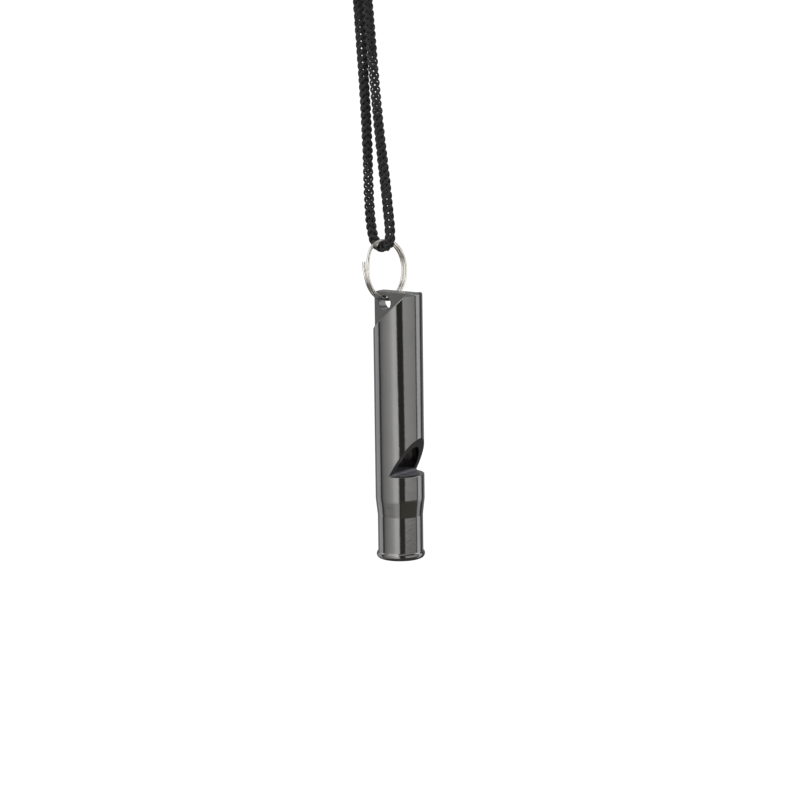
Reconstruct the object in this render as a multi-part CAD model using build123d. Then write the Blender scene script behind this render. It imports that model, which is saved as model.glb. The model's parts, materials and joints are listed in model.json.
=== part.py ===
from build123d import *

import math
import os

# Pea-less metal signal whistle on a split ring and a braided neck cord.
#
# Row frame: origin at the knot that the cord is held by, +Z up along the taut cord,
# the split ring in the Y-Z plane below it.  The whistle hangs from a hole beside its
# own axis, so it leans until its weight is under the ring.
#
# Whistle frame: Z along the barrel's axis with the flat top end at z = 0, +X through
# the sound window, and the cross hole for the ring along Y.
# All sizes are in millimetres and degrees.

# Barrel and mouthpiece, turned from one bar
BODY_RADIUS = 4.85
BODY_LENGTH = 53.0
TOP_ROUND = 0.65
TAPER_TOP_Z = -41.0
TAPER_BOTTOM_Z = -44.3
TAPER_TOP_BLEND = 5.0
TAPER_BOTTOM_BLEND = 1.2
NECK_RADIUS = 4.47
LIP_RADIUS = 4.8
LIP_ROUND = 0.82
LIP_BLEND = 0.25
BORE_RADIUS = 3.8
BORE_TOP_Z = -12.0
DRILL_POINT_ANGLE = 118.0

# Flat tab at the closed end, with a hollow-ground shoulder on both sides
TAB_THICKNESS = 2.4
SHOULDER_START = (-5.6, -8.25)
SHOULDER_MIDDLE = (0.5, -3.75)
SHOULDER_END = (4.6, 0.95)
SHOULDER_EDGE_BREAK = 0.18
HOLE_RADIUS = 1.4
HOLE_X = -2.33
HOLE_Z = -2.26
HOLE_EDGE_BREAK = 0.08

# Sound window: a ramp cut down through the wall, ending at a square floor
RAMP_START_Z = -28.7
WINDOW_FLOOR_Z = -36.1
WINDOW_DEPTH_X = 0.62
WINDOW_ROOT_RADIUS = 0.2
RIM_EDGE_BREAK = 0.15

# Windway plug, pressed into the mouthpiece
PLUG_FLAT_X = 3.15
PLUG_STEP = 0.55
PLUG_RECESS = 0.4

# Split ring, two turns of spring wire side by side
RING_WIRE = 0.65
RING_MEAN_RADIUS = 5.75
RING_TURN_GAP = 0.03
RING_LOOSE_END_ANGLE = 67.5
RING_TIGHT_END_ANGLE = 28.0
RING_SPRUNG_ANGLE = 32.0
RING_SPRUNG_OPEN = 0.4
RING_STEP_AFTER = 1.0
RING_STEP_BEYOND = 12.0
RING_STATION_ANGLE = 6.0

# How the ring sits in the hole
WIRE_TO_HOLE_WALL = 0.82
WHISTLE_YAW = 4.4

# Neck cord and its knot
CORD_DIAMETER = 2.1
CORD_RING_GAP = 0.2
STRAND_LENGTH = 49.5
KNOT_SIZE = (8.6, 7.0, 8.0)
TAIL_LENGTH = 7.5
TAIL_SPLAY = 14.0
TAIL_OFFSET = 1.3

# The cord's line in the X-Z plane, from the knot down one strand, under the ring's
# wire and back up the other, with Z counted from the lowest point of its bend.
CORD_ROUTE = (
    (-1.15, 51.9),
    (-1.3, 36.8),
    (-1.8, 21.5),
    (-2.55, 12.2),
    (-2.75, 7.0),
    (-2.68, 3.9),
    (-2.28, 1.27),
    (-1.06, 0.0),
    (0.84, 0.0),
    (2.05, 1.27),
    (2.02, 3.9),
    (1.95, 7.0),
    (1.82, 12.4),
    (1.37, 22.0),
    (1.15, 37.0),
    (1.13, 51.9),
)
BEND_SHARE = 0.45


def turned_blank():
    """The barrel, neck and rounded lip as one revolved solid, in the whistle frame."""
    lip_centre = Vector(LIP_RADIUS - LIP_ROUND, 0, -BODY_LENGTH + LIP_ROUND)
    lip_rise = math.sqrt(LIP_ROUND**2 - (NECK_RADIUS - lip_centre.X) ** 2)
    lip_top = (NECK_RADIUS, 0, lip_centre.Z + lip_rise)
    outline = Polyline(
        (0, 0, 0),
        (BODY_RADIUS, 0, 0),
        (BODY_RADIUS, 0, TAPER_TOP_Z),
        (NECK_RADIUS, 0, TAPER_BOTTOM_Z),
        lip_top,
    )
    lip = ThreePointArc(
        lip_top,
        (LIP_RADIUS, 0, lip_centre.Z),
        (lip_centre.X, 0, -BODY_LENGTH),
    )
    closing = Polyline((lip_centre.X, 0, -BODY_LENGTH), (0, 0, -BODY_LENGTH), (0, 0, 0))
    section = make_face([*outline.edges(), lip, *closing.edges()])
    section = blend_corner(section, BODY_RADIUS, 0, TOP_ROUND)
    section = blend_corner(section, BODY_RADIUS, TAPER_TOP_Z, TAPER_TOP_BLEND)
    section = blend_corner(section, NECK_RADIUS, TAPER_BOTTOM_Z, TAPER_BOTTOM_BLEND)
    section = blend_corner(section, NECK_RADIUS, lip_top[2], LIP_BLEND)
    return revolve(section, Axis.Z)


def blend_corner(section, x, z, radius):
    """Rounds the corner of an X-Z section that lies at x, z."""
    place = Vector(x, 0, z)
    corner = min(section.vertices(), key=lambda v: (Vector(v) - place).length)
    return fillet(corner, radius)


def bore():
    """The drilled bore from the lip up to its drill point."""
    point_height = BORE_RADIUS / math.tan(math.radians(DRILL_POINT_ANGLE / 2))
    depth = BORE_TOP_Z + BODY_LENGTH
    straight = Pos(0, 0, -BODY_LENGTH) * Cylinder(
        BORE_RADIUS, depth, align=(Align.CENTER, Align.CENTER, Align.MIN)
    )
    point = Pos(0, 0, BORE_TOP_Z) * Cone(
        BORE_RADIUS, 0, point_height, align=(Align.CENTER, Align.CENTER, Align.MIN)
    )
    return straight + point


def shoulder_cutter():
    """The space above the shoulder, across the whole barrel."""
    clear = 2.0
    edge = ThreePointArc(
        xz(SHOULDER_START), xz(SHOULDER_MIDDLE), xz(SHOULDER_END)
    )
    sides = Polyline(
        xz(SHOULDER_END),
        (SHOULDER_END[0], 0, SHOULDER_END[1] + clear),
        (SHOULDER_START[0], 0, SHOULDER_END[1] + clear),
        xz(SHOULDER_START),
    )
    face = make_face([edge, *sides.edges()])
    return extrude(face, 2 * BODY_RADIUS, both=True, dir=(0, 1, 0))


def tab_cutter():
    """What is milled off the closed end: both sides of the tab, above the shoulder."""
    reach = 4 * BODY_RADIUS
    tab = Box(reach, TAB_THICKNESS, reach)
    return shoulder_cutter() - tab


def ring_hole():
    """The cross hole through the tab that the split ring goes through."""
    return (
        Pos(HOLE_X, 0, HOLE_Z)
        * Rot(90, 0, 0)
        * Cylinder(HOLE_RADIUS, 2 * TAB_THICKNESS)
    )


def window_cutter():
    """The sound window's ramp, rounded root and floor, extruded across the barrel."""
    slope = (BODY_RADIUS - WINDOW_DEPTH_X) / (RAMP_START_Z - WINDOW_FLOOR_Z)
    clear = 2.0
    outside = BODY_RADIUS + clear
    section = make_face(
        Polyline(
            (WINDOW_DEPTH_X, 0, WINDOW_FLOOR_Z),
            (outside, 0, WINDOW_FLOOR_Z),
            (outside, 0, RAMP_START_Z + clear / slope),
            (WINDOW_DEPTH_X, 0, WINDOW_FLOOR_Z),
        )
    )
    section = blend_corner(section, WINDOW_DEPTH_X, WINDOW_FLOOR_Z, WINDOW_ROOT_RADIUS)
    return extrude(section, 2 * BODY_RADIUS, both=True, dir=(0, 1, 0))


def on_barrel(edge, low, high):
    """Whether an edge's middle lies on the barrel's outside between two heights."""
    middle = edge @ 0.5
    radius = math.hypot(middle.X, middle.Y)
    return abs(radius - BODY_RADIUS) < 0.02 and low < middle.Z < high


def shoulder_edges(body):
    """The two curved edges where the shoulder meets the barrel's outside."""
    low, high = SHOULDER_START[1], -TOP_ROUND
    return [
        e for e in body.edges() if on_barrel(e, low, high) and abs((e @ 0.5).Y) > TAB_THICKNESS
    ]


def make_whistle_body():
    """Barrel, tab, window and mouthpiece: one machined and plated piece."""
    body = turned_blank() - tab_cutter()
    body = fillet(shoulder_edges(body), SHOULDER_EDGE_BREAK)
    body = body - bore() - window_cutter() - ring_hole()
    hole_rims = [
        e
        for e in body.edges().filter_by(GeomType.CIRCLE)
        if abs(e.radius - HOLE_RADIUS) < 1e-3
    ]
    body = chamfer(hole_rims, HOLE_EDGE_BREAK)
    floor = WINDOW_FLOOR_Z
    floor_rim = [e for e in body.edges() if on_barrel(e, floor - 0.02, floor + 0.02)]
    return fillet(floor_rim, RIM_EDGE_BREAK)


def make_fipple_plug():
    """The windway plug: a cylinder with a flat that leaves the slot for the breath."""
    bottom = -BODY_LENGTH + PLUG_RECESS
    top = WINDOW_FLOOR_Z + PLUG_STEP
    plug = Pos(0, 0, bottom) * Cylinder(
        BORE_RADIUS, top - bottom, align=(Align.CENTER, Align.CENTER, Align.MIN)
    )
    slot = Pos(PLUG_FLAT_X, 0, bottom) * Box(
        2 * BORE_RADIUS,
        4 * BORE_RADIUS,
        4 * BORE_RADIUS + BODY_LENGTH,
        align=(Align.MIN, Align.CENTER, Align.CENTER),
    )
    return plug - slot - window_cutter()


def xz(point):
    """A point of the X-Z plane from its two coordinates."""
    return (point[0], 0, point[1])


def balance_tilt(body, plug, hinge):
    """The lean at which the whistle's centre of mass is under its hinge."""
    mass = body.volume + plug.volume
    centre = (
        body.center(CenterOf.MASS) * body.volume
        + plug.center(CenterOf.MASS) * plug.volume
    ) / mass
    return math.degrees(math.atan2(centre.X - hinge.X, hinge.Z - centre.Z))


def ring_point(angle, across, centre_z):
    """A point on the ring's wire, by its angle from the top towards -Y."""
    turn = math.radians(angle)
    return Vector(
        across,
        -RING_MEAN_RADIUS * math.sin(turn),
        centre_z + RING_MEAN_RADIUS * math.cos(turn),
    )


def eased(share):
    """A smooth step from 0 to 1."""
    share = min(max(share, 0.0), 1.0)
    return share * share * (3 - 2 * share)


def ring_across(angle):
    """How far off the ring's middle plane the wire runs, by its angle along the coil."""
    side = (RING_WIRE + RING_TURN_GAP) / 2
    step_start = 360 + RING_TIGHT_END_ANGLE + RING_STEP_AFTER
    step_end = 360 + RING_LOOSE_END_ANGLE + RING_STEP_BEYOND
    step = eased((angle - step_start) / (step_end - step_start))
    sprung = eased(1 - (angle - RING_LOOSE_END_ANGLE) / RING_SPRUNG_ANGLE)
    return -side + 2 * side * step - RING_SPRUNG_OPEN * sprung


def make_split_ring(centre_z):
    """Nearly two turns of round wire, stepping across to the second turn once."""
    last = 720 + RING_TIGHT_END_ANGLE
    count = round((last - RING_LOOSE_END_ANGLE) / RING_STATION_ANGLE)
    angles = [
        RING_LOOSE_END_ANGLE + (last - RING_LOOSE_END_ANGLE) * i / count
        for i in range(count + 1)
    ]
    path = Spline([ring_point(a, ring_across(a), centre_z) for a in angles])
    section = Plane(path @ 0, z_dir=path % 0) * Circle(RING_WIRE / 2)
    return sweep(section, path, is_frenet=True)


def corner_radii(points):
    """The arc radius at each corner of a route, as large as its two runs allow."""
    radii = []
    for before, corner, after in zip(points, points[1:], points[2:]):
        run_in = corner - before
        run_out = after - corner
        half_turn = math.radians(run_in.get_angle(run_out)) / 2
        shorter = min(run_in.length, run_out.length)
        radii.append(BEND_SHARE * shorter / math.tan(half_turn))
    return radii


def make_cord(bend_z):
    """The neck cord: a round tube down one strand, under the ring and up the other."""
    points = [Vector(x, 0, bend_z + z) for x, z in CORD_ROUTE]
    radii = corner_radii(points)
    path = FilletPolyline(*points, radius=radii)
    section = Plane(path @ 0, z_dir=path % 0) * Circle(CORD_DIAMETER / 2)
    cord = sweep(section, path)
    expected = math.pi * (CORD_DIAMETER / 2) ** 2 * path.length
    print("cord radii", [round(r, 2) for r in radii])
    print("cord length", round(path.length, 2), "volume share", round(cord.volume / expected, 4))
    return cord


def make_knot():
    """The overhand knot that joins the cord's ends, with its two short tails."""
    lump = scale(Sphere(0.5), by=KNOT_SIZE)
    for side in (-1, 1):
        tail = Cylinder(
            CORD_DIAMETER / 2,
            KNOT_SIZE[2] / 2 + TAIL_LENGTH,
            align=(Align.CENTER, Align.CENTER, Align.MIN),
        )
        tail = chamfer(tail.edges().group_by(Axis.Z)[-1], CORD_DIAMETER / 5)
        lump += Pos(side * TAIL_OFFSET, 0, 0) * Rot(0, side * TAIL_SPLAY, 0) * tail
    return lump


KNOT_BOTTOM_Z = -KNOT_SIZE[2] / 2
RING_TOP_Z = KNOT_BOTTOM_Z - STRAND_LENGTH
RING_CENTRE_Z = RING_TOP_Z - RING_WIRE / 2 - RING_MEAN_RADIUS
HINGE_Z = RING_CENTRE_Z - RING_MEAN_RADIUS
BEND_Z = RING_TOP_Z - RING_WIRE - CORD_RING_GAP - CORD_DIAMETER / 2
HINGE_IN_WHISTLE = Vector(HOLE_X, 0, HOLE_Z + HOLE_RADIUS - WIRE_TO_HOLE_WALL)

whistle_body = make_whistle_body()
fipple_plug = make_fipple_plug()
WHISTLE_TILT = balance_tilt(whistle_body, fipple_plug, HINGE_IN_WHISTLE)
HANG = (
    Pos(0, 0, HINGE_Z)
    * Rot(0, 0, WHISTLE_YAW)
    * Rot(0, WHISTLE_TILT, 0)
    * Pos(-HINGE_IN_WHISTLE.X, 0, -HINGE_IN_WHISTLE.Z)
)

parts = {
    "whistle_body": HANG * whistle_body,
    "fipple_plug": HANG * fipple_plug,
    "split_ring": make_split_ring(RING_CENTRE_Z),
    "lanyard_cord": make_cord(BEND_Z),
    "lanyard_knot": make_knot(),
}

print("whistle tilt", round(WHISTLE_TILT, 3))
os.makedirs("parts", exist_ok=True)
for name, shape in parts.items():
    export_step(shape, f"parts/{name}.step")
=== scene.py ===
"""Looks for the signal whistle on its neck cord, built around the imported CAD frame.

Metres throughout.  The part hangs: its knot is at the origin and the whistle is below it.
"""

import json
import math

import bpy
import numpy as np
from mathutils import Matrix, Vector


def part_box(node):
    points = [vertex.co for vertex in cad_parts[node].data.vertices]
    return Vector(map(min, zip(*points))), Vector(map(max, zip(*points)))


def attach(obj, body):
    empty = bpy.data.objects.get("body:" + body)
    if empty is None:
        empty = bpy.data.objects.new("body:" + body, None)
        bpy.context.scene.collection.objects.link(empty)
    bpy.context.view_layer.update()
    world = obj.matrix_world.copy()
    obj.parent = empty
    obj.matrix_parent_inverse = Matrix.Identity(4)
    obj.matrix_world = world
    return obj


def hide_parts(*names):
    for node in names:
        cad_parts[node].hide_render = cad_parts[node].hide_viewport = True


MM = 0.001

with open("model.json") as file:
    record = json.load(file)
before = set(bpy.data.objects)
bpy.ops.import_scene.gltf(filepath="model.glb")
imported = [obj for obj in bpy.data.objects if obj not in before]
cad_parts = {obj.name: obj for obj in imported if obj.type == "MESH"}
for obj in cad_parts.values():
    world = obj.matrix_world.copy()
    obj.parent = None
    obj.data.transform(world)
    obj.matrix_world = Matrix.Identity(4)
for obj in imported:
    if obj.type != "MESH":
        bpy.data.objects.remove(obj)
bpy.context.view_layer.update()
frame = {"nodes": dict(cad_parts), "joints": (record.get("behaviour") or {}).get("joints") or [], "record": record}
nodes = frame["nodes"]
JOINTS = {j["name"]: j for j in frame["joints"]}
BEND = Vector(JOINTS["ring_swing"]["pos_m"])
RING_CENTRE = sum(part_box("split_ring"), Vector()) / 2
BARREL = next(m for m in frame["record"]["mounts"] if m["name"] == "barrel")
BARREL_MIDDLE = Vector(BARREL["pos_m"])
BARREL_TURN = (-Vector(BARREL["axis"])).to_track_quat("Z", "Y").to_euler()
# Along the barrel from its middle: the top face, the end of the milled window, the bore's top
MILLED_TOP = 20.55 * MM
MILLED_END = -16.2 * MM
BORE_TOP = 9.0 * MM
# Radii between which a finish fades (in the bore, a finish with painted shade): out from the 3.8 mm bore's wall,
# in to the turned skin, and out from the wall of the 1.4 mm cross hole
BORE_FADE = (3.81 * MM, 3.85 * MM)
SKIN_FADE = (4.72 * MM, 4.78 * MM)
HOLE_FADE = (1.42 * MM, 1.46 * MM)
# The cross hole's upper wall rests on the ring's wire
WIRE_TO_HOLE_CENTRE = 0.58 * MM
HOLE_AXIS = Vector(JOINTS["whistle_swing"]["axis"])
HOLE_CENTRE = Vector(JOINTS["whistle_swing"]["pos_m"]) - Vector((0, 0, WIRE_TO_HOLE_CENTRE))

# ---------------------------------------------------------------- camera

CAMERA_AZIMUTH = 40.0
CAMERA_ELEVATION = 7.0
CAMERA_ROLL = 4.78
CAMERA_DISTANCE = 0.6
CAMERA_LENS = 138.2
AIM_RIGHT = 3.0 * MM
AIM_UP = -25.4 * MM


def toward(azimuth, elevation):
    """The unit vector from the part toward a viewer at that azimuth and elevation."""
    a, e = math.radians(azimuth), math.radians(elevation)
    return Vector((math.sin(a) * math.cos(e), -math.cos(a) * math.cos(e), math.sin(e)))


def make_camera():
    """The camera, rolled a little, because the part hung askew in its view."""
    back = toward(CAMERA_AZIMUTH, CAMERA_ELEVATION)
    roll = Matrix.Rotation(math.radians(-CAMERA_ROLL), 4, "Z")
    turn = (-back).to_track_quat("-Z", "Y").to_matrix().to_4x4() @ roll
    right, up = turn.col[0].to_3d(), turn.col[1].to_3d()
    target = RING_CENTRE + right * AIM_RIGHT + up * AIM_UP
    data = bpy.data.cameras.new("camera")
    data.lens = CAMERA_LENS
    data.sensor_width = 36
    data.clip_start, data.clip_end = 0.01, 20
    camera = bpy.data.objects.new("camera", data)
    camera.matrix_world = Matrix.Translation(target + back * CAMERA_DISTANCE) @ turn
    bpy.context.scene.collection.objects.link(camera)
    bpy.context.scene.camera = camera


make_camera()

# ---------------------------------------------------------------- neck cord

CORD_LENGTH = 106.45 * MM
# Its route in its own plane, in millimetres: across, and up from the ring's swing line
CORD_ROUTE = (
    (-1.15, 51.9),
    (-1.3, 36.8),
    (-1.8, 21.5),
    (-2.55, 12.2),
    (-2.75, 7.0),
    (-2.68, 3.9),
    (-2.28, 1.27),
    (-1.06, 0.0),
    (0.84, 0.0),
    (2.05, 1.27),
    (2.02, 3.9),
    (1.95, 7.0),
    (1.82, 12.4),
    (1.37, 22.0),
    (1.15, 37.0),
    (1.13, 51.9),
)

# The braid: four yarns each way round, over two and under two
YARNS_EACH_WAY = 4
BRAID_LAY = 5.4 * MM
BRAID_MIDDLE_RADIUS = 0.74 * MM
BRAID_RISE = 0.16 * MM
YARN_HALF_WIDTH = 0.31 * MM
YARN_HALF_THICKNESS = 0.18 * MM
YARN_SIDES = 10
BRAID_STEP = 0.16 * MM
# How sharply a yarn goes from over to under, and how far and how often it strays
BRAID_SHARPNESS = 2.2
YARN_WANDER = 0.02 * MM
YARN_WANDER_LENGTH = 3.1 * MM

# A turn of the whole braid: where it starts, and how fast it goes round on the way
CORD_PHASE = math.radians(29)
CORD_TWIST = math.radians(180) / (106 * MM)

# Where the cord turns under the ring's wire it hugs it, and its far side is pressed flatter
BEND_CENTRE = BEND + Vector((0, 0, 1.6 * MM))
BEND_RADIUS = 1.7 * MM
BEND_REACH = 3.4 * MM
BEND_PRESS = 0.42
BEND_HUG = 0.15 * MM
BEND_HUG_ASIDE = 0.7
BEND_HUG_DEPTH = 0.5 * MM


def nurbs_line(points):
    """The smooth line of a route, read from its own NURBS spline."""
    data = bpy.data.curves.new("route", "CURVE")
    data.dimensions = "3D"
    data.resolution_u = 24
    spline = data.splines.new("NURBS")
    spline.points.add(len(points) - 1)
    for control, place in zip(spline.points, points):
        control.co = (*place, 1)
    spline.order_u = 3
    spline.use_endpoint_u = True
    holder = bpy.data.objects.new("route", data)
    mesh = bpy.data.meshes.new_from_object(holder)
    line = np.array([v.co for v in mesh.vertices], float)
    bpy.data.objects.remove(holder)
    bpy.data.curves.remove(data)
    bpy.data.meshes.remove(mesh)
    return line


def evenly(line, step):
    """The same line with points evenly spaced along it, and their distances along it."""
    along = np.concatenate([[0], np.cumsum(np.linalg.norm(np.diff(line, axis=0), axis=1))])
    at = np.linspace(0, along[-1], max(2, round(along[-1] / step) + 1))
    return np.stack([np.interp(at, along, line[:, k]) for k in range(3)], axis=1), at


def unit(rows):
    """Each row as a vector of length one."""
    return rows / np.maximum(np.linalg.norm(rows, axis=-1, keepdims=True), 1e-12)


def soft_step(value):
    """Nought up to nought, one from one on, and a smooth rise between."""
    value = np.clip(value, 0, 1)
    return value * value * (3 - 2 * value)


def carried_frame(line, first_normal):
    """Tangents, and two normals carried along the line without twisting."""
    tangents = unit(np.gradient(line, axis=0))
    normals = np.zeros_like(line)
    normal = np.array(first_normal, float)
    for i, tangent in enumerate(tangents):
        normal = normal - tangent * (normal @ tangent)
        normal /= np.linalg.norm(normal)
        normals[i] = normal
    return tangents, normals, np.cross(tangents, normals)


def yarn_centres(line, normals, sides, along, turn, start, phase, rng):
    """One yarn's centreline: a helix that rises over two others and dips under two."""
    column = turn * 2 * math.pi * along / BRAID_LAY + start
    over = np.tanh(BRAID_SHARPNESS * turn * np.cos(2 * column)) / math.tanh(BRAID_SHARPNESS)
    angle = column + phase
    wander = YARN_WANDER * np.sin(along / YARN_WANDER_LENGTH + rng.uniform(0, 6.28))
    radius = BRAID_MIDDLE_RADIUS + BRAID_RISE * over + wander
    outward = normals * np.cos(angle)[:, None] + sides * np.sin(angle)[:, None]
    return line + outward * radius[:, None], outward


def pressed(centres, line):
    """A yarn's centreline, drawn in and flattened where the cord bends round the wire."""
    inward = np.array(BEND_CENTRE) - line
    distance = np.linalg.norm(inward, axis=1, keepdims=True)
    inward = inward / np.maximum(distance, 1e-9)
    share = np.clip((BEND_REACH - distance) / (BEND_REACH - BEND_RADIUS), 0, 1)
    out = -((centres - line) * inward).sum(axis=1, keepdims=True)
    hug = BEND_HUG * (1 + BEND_HUG_ASIDE * np.abs(inward[:, :1]))
    hug = hug * np.clip(-out / BEND_HUG_DEPTH, 0, 1)
    return centres + inward * share * (BEND_PRESS * np.maximum(out, 0) + hug)


def sweep_section(centres, outward, half_width, half_thickness):
    """Vertices and faces of a flat oval section swept along a yarn, with closed ends."""
    tangents = unit(np.gradient(centres, axis=0))
    across = unit(np.cross(tangents, outward))
    lift = np.cross(across, tangents)
    turn = np.linspace(0, 2 * math.pi, YARN_SIDES, endpoint=False)
    rings = (
        centres[:, None]
        + across[:, None] * (half_width * np.cos(turn))[None, :, None]
        + lift[:, None] * (half_thickness * np.sin(turn))[None, :, None]
    )
    count = len(centres)
    here = np.arange(YARN_SIDES)
    after = (here + 1) % YARN_SIDES
    faces = []
    for i in range(count - 1):
        low, high = i * YARN_SIDES, (i + 1) * YARN_SIDES
        faces += [(low + a, low + b, high + b, high + a) for a, b in zip(here, after)]
    faces.append(tuple(reversed(range(YARN_SIDES))))
    faces.append(tuple(range((count - 1) * YARN_SIDES, count * YARN_SIDES)))
    return rings.reshape(-1, 3), faces


def braid_mesh(name, lines, seed):
    """A braided cord along each of several lines, as one mesh with yarn coordinates.

    Each line comes as (points, first normal, distance already along the cord at its
    start, phase at its start, twist per metre).
    """
    rng = np.random.default_rng(seed)
    vertices, faces, coordinates = [], [], []
    for points, first_normal, before, phase_start, twist in lines:
        line, along = evenly(points, BRAID_STEP)
        _, normals, sides = carried_frame(line, first_normal)
        phase = phase_start + twist * along
        along = along + before
        for turn in (1, -1):
            for k in range(YARNS_EACH_WAY):
                start = 2 * math.pi * (k + rng.uniform(-0.03, 0.03)) / YARNS_EACH_WAY
                centres, outward = yarn_centres(
                    line, normals, sides, along, turn, start, phase, rng
                )
                centres = pressed(centres, line)
                width = YARN_HALF_WIDTH * rng.uniform(0.94, 1.04)
                ring, shell = sweep_section(centres, outward, width, YARN_HALF_THICKNESS)
                base = sum(len(v) for v in vertices)
                vertices.append(ring)
                faces += [tuple(base + i for i in face) for face in shell]
                around = np.tile(np.arange(YARN_SIDES) / YARN_SIDES, len(centres))
                down = np.repeat(along / MM, YARN_SIDES)
                shade = np.full(len(around), rng.uniform(0, 1))
                coordinates.append(np.stack([around, down, shade], axis=1))
    mesh = bpy.data.meshes.new(name)
    mesh.from_pydata(np.concatenate(vertices).tolist(), [], faces)
    mesh.polygons.foreach_set("use_smooth", [True] * len(mesh.polygons))
    yarn = mesh.attributes.new("yarn", "FLOAT_VECTOR", "POINT")
    yarn.data.foreach_set("vector", np.concatenate(coordinates).astype(np.float32).ravel())
    piece = bpy.data.objects.new(name, mesh)
    bpy.context.scene.collection.objects.link(piece)
    return piece


cord_line = nurbs_line([(x * MM, 0, BEND.z + z * MM) for x, z in CORD_ROUTE])
cord = braid_mesh("neck_cord", [(cord_line, (1, 0, 0), 0, CORD_PHASE, CORD_TWIST)], seed=3)
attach(cord, "lanyard")
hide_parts("lanyard_cord")

# The knot: both strands side by side in one overhand knot, drawn tight, in millimetres
KNOT_ROPE = 56.0
KNOT_SPACING = 0.7
KNOT_THICK = 2.1
KNOT_GIVE = 0.93
KNOT_STIFFNESS = 0.12
KNOT_ROUNDS = 320
KNOT_PULL = 0.1
KNOT_FOOT = -3.5
KNOT_EASE = 3.0
KNOT_STRAIGHT = 1.25
STRAND_OFFSET = 1.14
TAIL_TOPS = (11.3, 10.1)


def loose_overhand():
    """The line of an open overhand knot, in millimetres, that runs up through itself."""
    t = np.linspace(-2.05, 2.05, 1200)
    line = np.stack([t**3 - 3 * t, t**4 - 4 * t**2, 0.22 * (t**5 - 10 * t)], axis=1)
    length = np.linalg.norm(np.diff(line, axis=0), axis=1).sum()
    return evenly(line * KNOT_ROPE / length, KNOT_SPACING)[0]


def keep_lengths(ropes):
    """Moves neighbouring points until they are their spacing apart again."""
    for start in (0, 1):
        count = (ropes.shape[1] - start) // 2 * 2
        first = ropes[:, start : start + count : 2]
        second = ropes[:, start + 1 : start + count : 2]
        step = second - first
        length = np.maximum(np.linalg.norm(step, axis=2, keepdims=True), 1e-9)
        fix = step * (0.5 * (length - KNOT_SPACING) / length)
        first += fix
        second -= fix


def push_apart(ropes, neighbours):
    """Moves points of the ropes apart where the ropes would run into each other."""
    flat = ropes.reshape(-1, 3)
    step = flat[:, None] - flat[None]
    distance = np.sqrt((step**2).sum(axis=2)) + 1e-9
    reach = KNOT_GIVE * KNOT_THICK
    over = np.where((distance < reach) & ~neighbours, reach - distance, 0)
    push = (step / distance[..., None] * (0.5 * over)[..., None]).sum(axis=1)
    hits = np.maximum((over > 0).sum(axis=1, keepdims=True), 1)
    flat += push / hits**0.5


def tightened_knot():
    """The two strands' lines in the knot, in millimetres, pulled tight by their four ends."""
    middle = loose_overhand()
    side = carried_frame(middle, (1, 0, 0))[1] * 0.55 * KNOT_THICK
    ropes = np.stack([middle - side, middle + side])
    count = ropes.shape[1]
    index = np.tile(np.arange(count), 2)
    rope = np.repeat([0, 1], count)
    apart = np.abs(index[:, None] - index[None]) * KNOT_SPACING
    neighbours = (rope[:, None] == rope[None]) & (apart < 1.5 * KNOT_THICK)
    rest = np.array([[-STRAND_OFFSET, 0.0], [STRAND_OFFSET, 0.0]])
    for _ in range(KNOT_ROUNDS):
        for end, pull in ((0, -KNOT_PULL), (-1, KNOT_PULL)):
            ropes[:, end, 2] += pull
            ropes[:, end, :2] += 0.2 * (rest - ropes[:, end, :2])
        for _ in range(3):
            keep_lengths(ropes)
            push_apart(ropes, neighbours)
            middles = 0.5 * (ropes[:, :-2] + ropes[:, 2:])
            ropes[:, 1:-1] += KNOT_STIFFNESS * (middles - ropes[:, 1:-1])
    return ropes


def knot_lines(feet):
    """The knot's two strands, from the cord's ends up to the cut tails, in metres."""
    ropes = tightened_knot()
    starts = [int(np.argmax(rope[:, 2] > KNOT_FOOT)) for rope in ropes]
    found = np.array([rope[i, :2] for rope, i in zip(ropes, starts)])
    ropes[:, :, :2] += (feet - found).mean(axis=0)
    lines = []
    for rope, i, foot, top in zip(ropes, starts, feet, TAIL_TOPS):
        end = len(rope) - int(np.argmax(rope[::-1, 2] < top))
        line = rope[i:end].copy()
        run = np.arange(len(line)) * KNOT_SPACING
        near = soft_step(KNOT_STRAIGHT - run / KNOT_EASE)[:, None]
        line[:, :2] = line[:, :2] * (1 - near) + foot * near
        line[0, 2] = KNOT_FOOT
        lines.append(nurbs_line(line * MM))
    return lines


def seal_tips(name, lines):
    """The tails' ends, melted to small domes so that the braid can't fray."""
    profile = ((0.8, -0.55), (1.02, -0.4), (1.06, -0.12), (1.0, 0.14), (0.8, 0.36), (0.45, 0.5))
    sides, count = 20, len(profile)
    vertices, faces = [], []
    for line in lines:
        tangents, normals, across = (rows[-1] for rows in carried_frame(line, (1, 0, 0)))
        base = len(vertices)
        for radius, rise in profile:
            for k in range(sides):
                turn = 2 * math.pi * k / sides
                lump = 1 + 0.05 * math.sin(3 * turn + 9 * rise) + 0.03 * math.sin(5 * turn + base)
                out = (normals * math.cos(turn) + across * math.sin(turn)) * radius * lump
                vertices.append(tuple(line[-1] + (out + tangents * rise) * MM))
        for i in range(count - 1):
            for k in range(sides):
                a, b = base + i * sides + k, base + i * sides + (k + 1) % sides
                faces.append((a, b, b + sides, a + sides))
        last = base + (count - 1) * sides
        faces.append(tuple(range(last, last + sides)))
        faces.append(tuple(range(base + sides - 1, base - 1, -1)))
    mesh = bpy.data.meshes.new(name)
    mesh.from_pydata(vertices, [], faces)
    mesh.polygons.foreach_set("use_smooth", [True] * len(mesh.polygons))
    piece = bpy.data.objects.new(name, mesh)
    bpy.context.scene.collection.objects.link(piece)
    return piece


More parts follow.
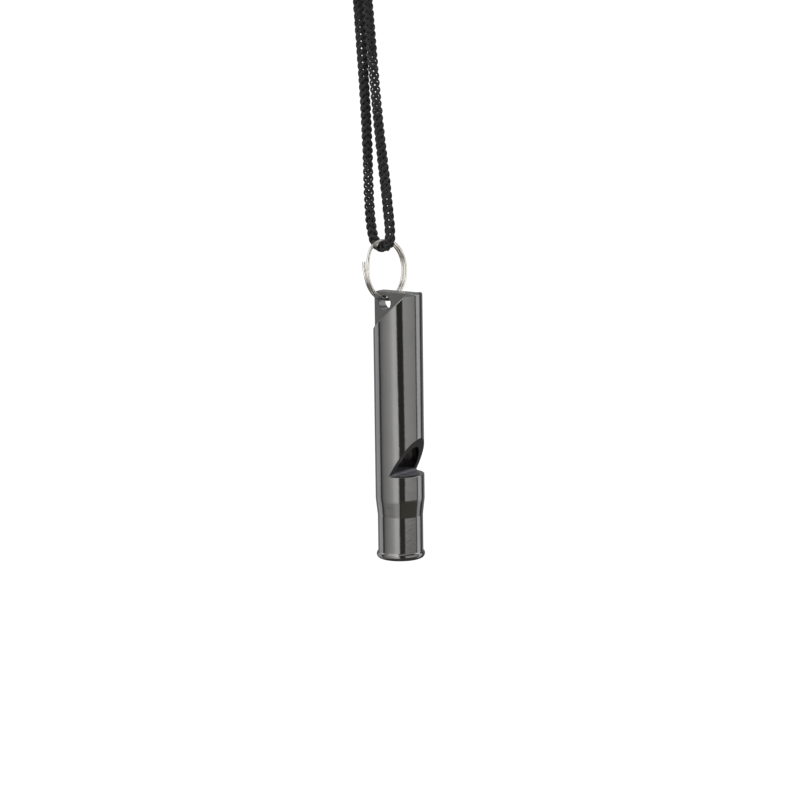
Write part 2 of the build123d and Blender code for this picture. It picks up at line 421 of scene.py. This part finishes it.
feet = np.array([cord_line[0, :2], cord_line[-1, :2]]) / MM
strands = knot_lines(feet)
far_phase = CORD_PHASE + CORD_TWIST * CORD_LENGTH
knot = braid_mesh(
    "overhand_knot",
    [
        (strands[0], (1, 0, 0), 0, -CORD_PHASE, 0),
        (strands[1], (-1, 0, 0), CORD_LENGTH, far_phase, 0),
    ],
    seed=4,
)
tips = seal_tips("sealed_tips", strands)
for piece in (knot, tips):
    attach(piece, "lanyard")
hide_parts("lanyard_knot")

# ---------------------------------------------------------------- materials


def new_material(name):
    """An empty node material with its Principled shader and output."""
    material = bpy.data.materials.new(name)
    material.use_nodes = True
    tree = material.node_tree
    tree.nodes.clear()
    output = tree.nodes.new("ShaderNodeOutputMaterial")
    shader = tree.nodes.new("ShaderNodeBsdfPrincipled")
    tree.links.new(shader.outputs["BSDF"], output.inputs["Surface"])
    return material, tree, shader


def add_node(tree, kind, **settings):
    """A shader node with its properties and its inputs' constant values set."""
    node = tree.nodes.new(kind)
    for key, value in settings.items():
        if key in node.inputs:
            node.inputs[key].default_value = value
        else:
            setattr(node, key, value)
    return node


def noise(tree, vector, scale, detail=3.0, roughness=0.55):
    """A noise value at each point, with that many features to the metre."""
    node = add_node(tree, "ShaderNodeTexNoise")
    node.inputs["Scale"].default_value = scale
    node.inputs["Detail"].default_value = detail
    node.inputs["Roughness"].default_value = roughness
    tree.links.new(vector, node.inputs["Vector"])
    return node.outputs["Fac"]


def remap(tree, value, low, high, to_low, to_high):
    """The value's range low to high, brought to another range and kept inside it."""
    node = add_node(tree, "ShaderNodeMapRange")
    for key, number in (
        ("From Min", low),
        ("From Max", high),
        ("To Min", to_low),
        ("To Max", to_high),
    ):
        node.inputs[key].default_value = number
    tree.links.new(value, node.inputs["Value"])
    return node.outputs["Result"]


def mixed_colour(tree, share, first, second):
    """A colour between two fixed ones, by the share."""
    node = add_node(tree, "ShaderNodeMix", data_type="RGBA")
    node.inputs[6].default_value = (*first, 1)
    node.inputs[7].default_value = (*second, 1)
    tree.links.new(share, node.inputs[0])
    return node.outputs[2]


def add_bump(tree, height, strength, distance, before=None):
    """A bumped normal from a height, on top of an earlier normal if there is one."""
    node = add_node(tree, "ShaderNodeBump")
    node.inputs["Strength"].default_value = strength
    node.inputs["Distance"].default_value = distance
    tree.links.new(height, node.inputs["Height"])
    if before is not None:
        tree.links.new(before, node.inputs["Normal"])
    return node.outputs["Normal"]


def mix_toward(tree, share, socket, value):
    """The socket's colour or number, mixed toward a fixed one by the share."""
    is_colour = isinstance(value, tuple)
    node = add_node(tree, "ShaderNodeMix", data_type="RGBA" if is_colour else "FLOAT")
    first, second = (6, 7) if is_colour else (2, 3)
    node.inputs[second].default_value = (*value, 1) if is_colour else value
    tree.links.new(share, node.inputs[0])
    tree.links.new(socket, node.inputs[first])
    return node.outputs[2 if is_colour else 0]


def milled_share(tree, place):
    """Where the cutter's faces are, not the barrel's turned skin; and where the bore is, whose mix carries painted
    shade.
    """
    turned = add_node(tree, "ShaderNodeMapping", vector_type="TEXTURE")
    turned.inputs["Location"].default_value = BARREL_MIDDLE
    turned.inputs["Rotation"].default_value = BARREL_TURN
    tree.links.new(place, turned.inputs["Vector"])
    parts = add_node(tree, "ShaderNodeSeparateXYZ")
    tree.links.new(turned.outputs["Vector"], parts.inputs["Vector"])
    flat = add_node(tree, "ShaderNodeVectorMath", operation="MULTIPLY")
    flat.inputs[1].default_value = (1.0, 1.0, 0.0)
    tree.links.new(turned.outputs["Vector"], flat.inputs[0])
    off = add_node(tree, "ShaderNodeVectorMath", operation="LENGTH")
    tree.links.new(flat.outputs["Vector"], off.inputs[0])
    share = remap(tree, off.outputs["Value"], *SKIN_FADE, 1, 0)
    bore = remap(tree, off.outputs["Value"], *BORE_FADE, 1, 0)
    under_tab = remap(tree, parts.outputs["Z"], BORE_TOP, BORE_TOP + MM, 1, 0)
    in_bore = add_node(tree, "ShaderNodeMath", operation="MULTIPLY")
    tree.links.new(bore, in_bore.inputs[0])
    tree.links.new(under_tab, in_bore.inputs[1])
    below_top = remap(tree, parts.outputs["Z"], MILLED_TOP - 0.1 * MM, MILLED_TOP, 1, 0)
    above_neck = remap(tree, parts.outputs["Z"], MILLED_END, MILLED_END + MM, 0, 1)
    out = add_node(tree, "ShaderNodeVectorMath", operation="SUBTRACT")
    out.inputs[1].default_value = HOLE_CENTRE
    tree.links.new(place, out.inputs[0])
    across = add_node(tree, "ShaderNodeVectorMath", operation="CROSS_PRODUCT")
    across.inputs[1].default_value = HOLE_AXIS
    tree.links.new(out.outputs["Vector"], across.inputs[0])
    reach = add_node(tree, "ShaderNodeVectorMath", operation="LENGTH")
    tree.links.new(across.outputs["Vector"], reach.inputs[0])
    off_hole = remap(tree, reach.outputs["Value"], *HOLE_FADE, 0, 1)
    for limit in (below_top, above_neck, off_hole):
        both = add_node(tree, "ShaderNodeMath", operation="MULTIPLY")
        tree.links.new(share, both.inputs[0])
        tree.links.new(limit, both.inputs[1])
        share = both.outputs["Value"]
    return share, in_bore.outputs["Value"]


def metal(name, colour, rougher, smooth, rough, peel, wave, milled_and_bore_painted_shade=None, metallic=1.0):
    """Plated metal: slight mottling, waviness left by the turning, fine orange peel; where given, rougher milled
    faces, and a smoother bore darkened with painted shade.
    """
    material, tree, shader = new_material(name)
    place = add_node(tree, "ShaderNodeTexCoord").outputs["Object"]
    broad = noise(tree, place, 160.0, 4.0)
    fine = noise(tree, place, 2600.0, 2.0)
    stretch = add_node(tree, "ShaderNodeVectorMath", operation="MULTIPLY")
    stretch.inputs[1].default_value = (560.0, 560.0, 800.0)
    tree.links.new(place, stretch.inputs[0])
    turned = noise(tree, stretch.outputs["Vector"], 1.0, 2.0)
    tint = mixed_colour(tree, remap(tree, broad, 0.35, 0.65, 0, 1), colour, rougher)
    polish = remap(tree, broad, 0.3, 0.7, smooth, rough)
    if milled_and_bore_painted_shade is not None:
        shares = milled_share(tree, place)
        # In the bore the darker colour is painted shade inside the bore; its lower roughness is its smoother
        # finish
        for share, (shade, roughness) in zip(shares, milled_and_bore_painted_shade):
            tint = mix_toward(tree, share, tint, shade)
            polish = mix_toward(tree, share, polish, roughness)
    tree.links.new(tint, shader.inputs["Base Color"])
    tree.links.new(polish, shader.inputs["Roughness"])
    waves = add_bump(tree, turned, 1.0, wave * MM)
    tree.links.new(add_bump(tree, fine, peel, 0.004 * MM, waves), shader.inputs["Normal"])
    shader.inputs["Metallic"].default_value = metallic
    return material


def cord_material():
    """Black braided polyester: fine filaments along each yarn, with a soft sheen."""
    material, tree, shader = new_material("black_braid")
    yarn = add_node(tree, "ShaderNodeAttribute", attribute_name="yarn")
    parts = add_node(tree, "ShaderNodeSeparateXYZ")
    tree.links.new(yarn.outputs["Vector"], parts.inputs["Vector"])
    stretch = add_node(tree, "ShaderNodeVectorMath", operation="MULTIPLY")
    stretch.inputs[1].default_value = (46.0, 1.1, 40.0)
    tree.links.new(yarn.outputs["Vector"], stretch.inputs[0])
    filament = noise(tree, stretch.outputs["Vector"], 1.0, 2.0)
    share = remap(tree, filament, 0.35, 0.65, 0, 1)
    tint = mixed_colour(tree, share, (0.015, 0.014, 0.0145), (0.062, 0.058, 0.059))
    tree.links.new(tint, shader.inputs["Base Color"])
    tree.links.new(remap(tree, filament, 0.3, 0.7, 0.5, 0.75), shader.inputs["Roughness"])
    tree.links.new(add_bump(tree, filament, 0.7, 0.05 * MM), shader.inputs["Normal"])
    shader.inputs["Sheen Weight"].default_value = 0.25
    shader.inputs["Sheen Roughness"].default_value = 0.5
    shader.inputs["Specular IOR Level"].default_value = 0.35
    return material


def melted_material():
    """Polyester that was melted: smooth black drops with a dull shine."""
    material, tree, shader = new_material("melted_black")
    place = add_node(tree, "ShaderNodeTexCoord").outputs["Object"]
    lumps = noise(tree, place, 1500.0, 3.0)
    share = remap(tree, lumps, 0.35, 0.65, 0, 1)
    tint = mixed_colour(tree, share, (0.008, 0.008, 0.009), (0.02, 0.019, 0.018))
    tree.links.new(tint, shader.inputs["Base Color"])
    tree.links.new(remap(tree, lumps, 0.3, 0.7, 0.28, 0.5), shader.inputs["Roughness"])
    tree.links.new(add_bump(tree, lumps, 0.6, 0.05 * MM), shader.inputs["Normal"])
    return material


def assign(piece, material):
    """One material in every slot of a piece."""
    if not piece.data.materials:
        piece.data.materials.append(material)
    for i in range(len(piece.data.materials)):
        piece.data.materials[i] = material


SKIN = (0.33, 0.327, 0.325)
SKIN_MOTTLE = (0.31, 0.308, 0.308)
# The milled faces' darker, rougher finish; then the bore's smoother finish, its darker colour painted shade inside
# the bore
MILLED_FINISH_AND_BORE_PAINTED_SHADE = (((0.235, 0.233, 0.234), 0.36), ((0.25, 0.24, 0.235), 0.15))
PLUG = (0.38, 0.38, 0.42)
PLUG_MOTTLE = (0.32, 0.32, 0.355)
NICKEL = (0.93, 0.905, 0.86)
NICKEL_MOTTLE = (0.88, 0.855, 0.81)
gunmetal = metal("black_nickel_plate", SKIN, SKIN_MOTTLE, 0.07, 0.12, 0.1, 0.016, MILLED_FINISH_AND_BORE_PAINTED_SHADE)
plug_metal = metal("blasted_plug", PLUG, PLUG_MOTTLE, 0.5, 0.6, 0.2, 0.01, metallic=0.3)
ring_nickel = metal("bright_nickel_wire", NICKEL, NICKEL_MOTTLE, 0.16, 0.24, 0.15, 0.002)
braid_black = cord_material()
assign(nodes["whistle_body"], gunmetal)
assign(nodes["fipple_plug"], plug_metal)
assign(nodes["split_ring"], ring_nickel)
assign(knot, braid_black)
assign(tips, melted_material())
assign(cord, braid_black)

# ---------------------------------------------------------------- stage and light

TENT_RADIUS = 1.2
TENT_STEP = 2.0
LILAC = (0.97, 0.965, 1.0)
NEUTRAL = (1.0, 1.0, 0.98)
WARM = (1.0, 0.96, 0.9)
OLIVE = (1.0, 0.97, 0.8)

# The tent's cloth panels.  Angles are degrees, azimuths to the right of the camera.
# middle, half width, brightness from left to right, soft edge, lowest, highest, tint
TENT_PANELS = (
    (180, 44, (0.24, 0.3, 0.24), 14, -24, 60, LILAC),
    (-121, 17, (0.7, 0.7), 10, -45, 55, LILAC),
    (-50, 43, (0.24, 0.42, 0.53, 0.68, 1.05, 1.05), 7, -38, 60, NEUTRAL),
    (54, 32, (0.66, 0.6, 0.5), 6, -22, 28, NEUTRAL),
    (107, 14, (0.94, 0.94), 10, -45, 55, LILAC),
    (45, 46, (0.17, 0.2), 10, -36, -23, OLIVE),
)
TENT_LOW_EDGE = 8
TENT_HIGH_EDGE = 16
TENT_GAP = 0.058
TENT_ROOF = 0.95
TENT_ROOF_FROM = 48
TENT_ROOF_TO = 70
TENT_FLOOR = 0.15
TENT_FLOOR_FROM = -30
TENT_FLOOR_TO = -46
TENT_DIM_FROM = -19
TENT_DIM_TO = -27
TENT_DIM = 0.38
TENT_LIFT_FROM = 20
TENT_LIFT_TO = 42
TENT_LIFT = 0.8

# Azimuth to the right of the camera, elevation, and power
RING_LAMPS = ((-62, 8, 0.3), (70, 8, 0.3), (60, -50, 0.45))
RING_LAMP_SIZE = 0.45
RING_LAMP_DISTANCE = 0.5


def rise_between(values, start, end):
    """A column that rises smoothly from nought at the start to one at the end."""
    return soft_step((values - start) / (end - start))[:, None]


def tent_light(azimuth, elevation):
    """The tent cloth's brightness and tint by direction, as rows of red, green and blue."""
    roof = rise_between(elevation, TENT_ROOF_FROM, TENT_ROOF_TO)
    ground = rise_between(elevation, TENT_FLOOR_FROM, TENT_FLOOR_TO)
    light = TENT_GAP * (1 - ground) * np.array(WARM) + TENT_FLOOR * ground * np.array(WARM)
    for middle, half, levels, edge, low, high, tint in TENT_PANELS:
        off = (azimuth - middle + 180) % 360 - 180
        within = soft_step((half - np.abs(off)) / edge + 0.5)
        within = within * soft_step((elevation - low) / TENT_LOW_EDGE + 0.5)
        within = (within * soft_step((high - elevation) / TENT_HIGH_EDGE + 0.5))[:, None]
        share = np.clip((off + half) / (2 * half), 0, 1)
        level = np.interp(share, np.linspace(0, 1, len(levels)), levels)[:, None]
        light = light * (1 - within) + level * np.array(tint) * within
    low = rise_between(elevation, TENT_DIM_FROM, TENT_DIM_TO)
    high = rise_between(elevation, TENT_LIFT_FROM, TENT_LIFT_TO)
    light = light * (1 - TENT_DIM * low) * (1 + TENT_LIFT * high)
    return light * (1 - roof) + TENT_ROOF * roof


def make_tent():
    """A round white tent all about the part, whose cloth is the soft light."""
    across = round(360 / TENT_STEP)
    rows = round(180 / TENT_STEP)
    azimuth, elevation = np.meshgrid(
        np.arange(across) * TENT_STEP, np.linspace(-90, 90, rows + 1)
    )
    azimuth, elevation = azimuth.ravel(), elevation.ravel()
    turn, rise = np.radians(azimuth + CAMERA_AZIMUTH), np.radians(elevation)
    places = TENT_RADIUS * np.stack(
        [np.sin(turn) * np.cos(rise), -np.cos(turn) * np.cos(rise), np.sin(rise)], axis=1
    )
    faces = []
    for i in range(rows):
        for k in range(across):
            a, b = i * across + k, i * across + (k + 1) % across
            faces.append((a, a + across, b + across, b))
    mesh = bpy.data.meshes.new("tent")
    mesh.from_pydata((places + np.array(RING_CENTRE)).tolist(), [], faces)
    glow = mesh.attributes.new("glow", "FLOAT_VECTOR", "POINT")
    light = tent_light(azimuth, elevation).astype(np.float32)
    glow.data.foreach_set("vector", light.ravel())
    tent = bpy.data.objects.new("tent", mesh)
    bpy.context.scene.collection.objects.link(tent)
    material = bpy.data.materials.new("tent_cloth")
    material.use_nodes = True
    tree = material.node_tree
    tree.nodes.clear()
    output = tree.nodes.new("ShaderNodeOutputMaterial")
    emission = tree.nodes.new("ShaderNodeEmission")
    cloth = add_node(tree, "ShaderNodeAttribute", attribute_name="glow")
    tree.links.new(cloth.outputs["Vector"], emission.inputs["Color"])
    tree.links.new(emission.outputs["Emission"], output.inputs["Surface"])
    assign(tent, material)
    tent.visible_camera = False
    tent.visible_shadow = False


def make_stage():
    """A plain white floor far below the hanging part, swept up into a round backdrop."""
    floor_z, flat, rim, sweep = -1.2, 1.6, 2.6, 3.9
    profile = [(0.0, 0.0), (flat, 0.0)]
    for i in range(1, 13):
        turn = math.pi / 2 * i / 12
        profile.append((flat + (rim - flat) * math.sin(turn), (rim - flat) * (1 - math.cos(turn))))
    profile.append((rim, sweep))
    profile.append((0.0, sweep + 0.6))
    sides = 64
    vertices, faces = [], []
    for radius, height in profile:
        for k in range(sides):
            turn = 2 * math.pi * k / sides
            vertices.append((radius * math.cos(turn), radius * math.sin(turn), floor_z + height))
    for i in range(len(profile) - 1):
        for k in range(sides):
            a, b = i * sides + k, i * sides + (k + 1) % sides
            faces.append((a, b, b + sides, a + sides))
    mesh = bpy.data.meshes.new("backdrop")
    mesh.from_pydata(vertices, [], faces)
    mesh.polygons.foreach_set("use_smooth", [True] * len(mesh.polygons))
    backdrop = bpy.data.objects.new("backdrop", mesh)
    bpy.context.scene.collection.objects.link(backdrop)
    material, tree, shader = new_material("white_paper")
    shader.inputs["Base Color"].default_value = (0.8, 0.8, 0.8, 1)
    shader.inputs["Roughness"].default_value = 1.0
    shader.inputs["Emission Color"].default_value = (1, 1, 1, 1)
    shader.inputs["Emission Strength"].default_value = 1.0
    assign(backdrop, material)
    backdrop.visible_glossy = False
    backdrop.visible_diffuse = False
    backdrop.visible_shadow = False


def make_ring_fill():
    """Soft lamps that reach the bright ring only, which glares against the white."""
    only_ring = bpy.data.collections.new("ring_only")
    only_ring.objects.link(nodes["split_ring"])
    for azimuth, elevation, power in RING_LAMPS:
        data = bpy.data.lights.new("ring_lamp", "AREA")
        data.shape = "DISK"
        data.size = RING_LAMP_SIZE
        data.energy = power
        data.color = WARM
        lamp = bpy.data.objects.new("ring_lamp", data)
        away = toward(CAMERA_AZIMUTH + azimuth, elevation)
        lamp.location = RING_CENTRE + away * RING_LAMP_DISTANCE
        lamp.rotation_euler = away.to_track_quat("Z", "Y").to_euler()
        bpy.context.scene.collection.objects.link(lamp)
        lamp.light_linking.receiver_collection = only_ring


make_tent()
make_stage()
make_ring_fill()
bpy.context.scene.view_settings.view_transform = "Standard"
